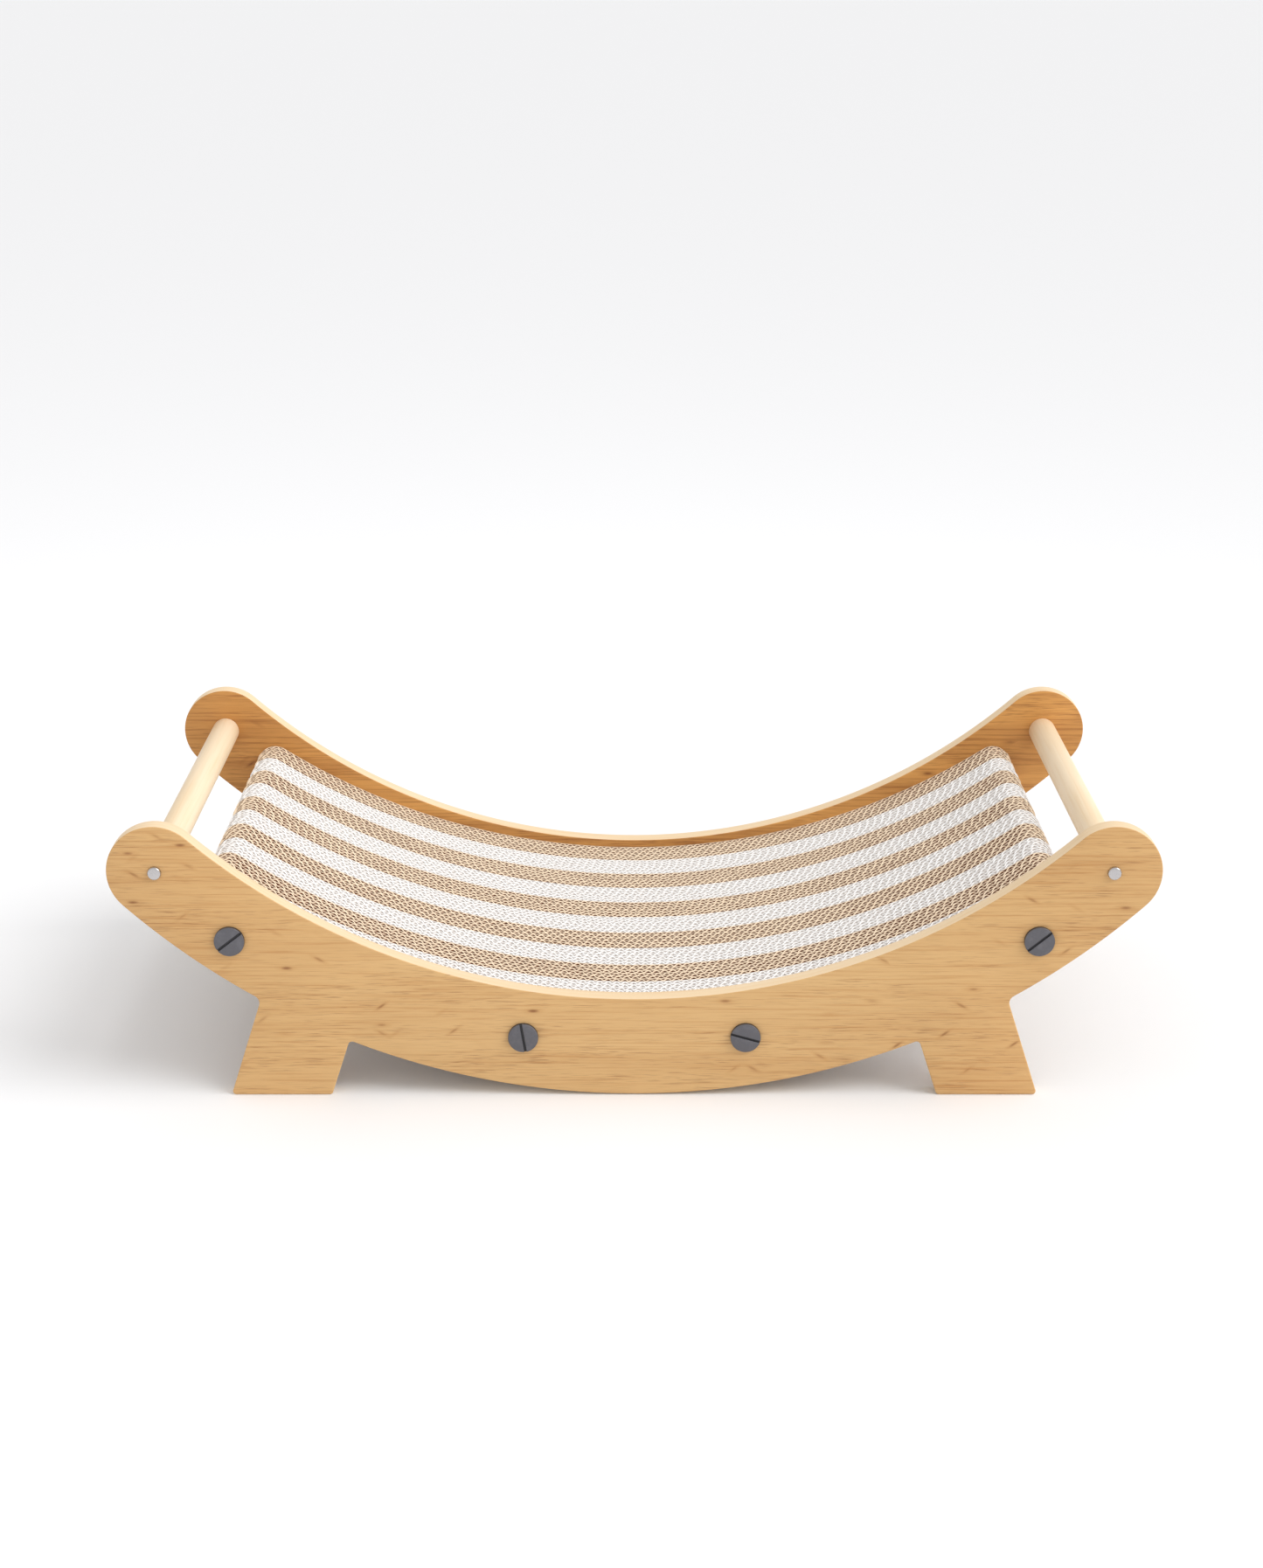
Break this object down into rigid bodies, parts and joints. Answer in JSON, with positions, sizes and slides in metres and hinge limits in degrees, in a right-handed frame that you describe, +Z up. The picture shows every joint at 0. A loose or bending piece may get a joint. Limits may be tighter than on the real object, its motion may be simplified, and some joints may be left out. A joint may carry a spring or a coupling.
{
  "type": "cat scratching lounge",
  "caption": "Low wooden cradle with curved side panels, grip bars and a striped corrugated scratching pad that lifts out.",
  "frame": {"origin": "middle of the footprint, on the floor", "axes": "+X along the length, +Y across from front panel to back panel, +Z up"},
  "size_m": [0.62, 0.305, 0.1705],
  "materials": {
    "panel_wood": "oak veneer, satin lacquer",
    "bar_wood": "turned birch, satin",
    "rail_wood": "turned birch, plain",
    "pin_steel": "satin",
    "insert_brass": "plain",
    "screw_paint": "slate grey, satin",
    "board_kraft": "kraft corrugated board on edge",
    "board_white": "white corrugated board on edge"
  },
  "bodies": {
    "cradle": {"side_panel_front": "panel_wood", "side_panel_back": "panel_wood", "grip_bar_left": "bar_wood", "grip_bar_right": "bar_wood", "bar_pin_front_left": "pin_steel", "bar_pin_front_right": "pin_steel", "bar_pin_back_left": "pin_steel", "bar_pin_back_right": "pin_steel", "rail_upper_left": "rail_wood", "rail_lower_left": "rail_wood", "rail_lower_right": "rail_wood", "rail_upper_right": "rail_wood", "insert_front_upper_left": "insert_brass", "insert_front_lower_left": "insert_brass", "insert_front_lower_right": "insert_brass", "insert_front_upper_right": "insert_brass", "insert_back_upper_left": "insert_brass", "insert_back_lower_left": "insert_brass", "insert_back_lower_right": "insert_brass", "insert_back_upper_right": "insert_brass", "screw_front_upper_left": "screw_paint", "screw_front_lower_left": "screw_paint", "screw_front_lower_right": "screw_paint", "screw_front_upper_right": "screw_paint", "screw_back_upper_left": "screw_paint", "screw_back_lower_left": "screw_paint", "screw_back_lower_right": "screw_paint", "screw_back_upper_right": "screw_paint"},
    "pad": {"pad_strip_01": "board_white", "pad_strip_02": "board_kraft", "pad_strip_03": "board_white", "pad_strip_04": "board_kraft", "pad_strip_05": "board_white", "pad_strip_06": "board_kraft", "pad_strip_07": "board_white", "pad_strip_08": "board_kraft", "pad_strip_09": "board_white", "pad_strip_10": "board_kraft"}
  },
  "joints": [
    {"name": "pad_lift", "type": "slide", "parent": "cradle", "child": "pad", "axis": [0, 0, 1], "range_m": [0, 0.16]}
  ]
}
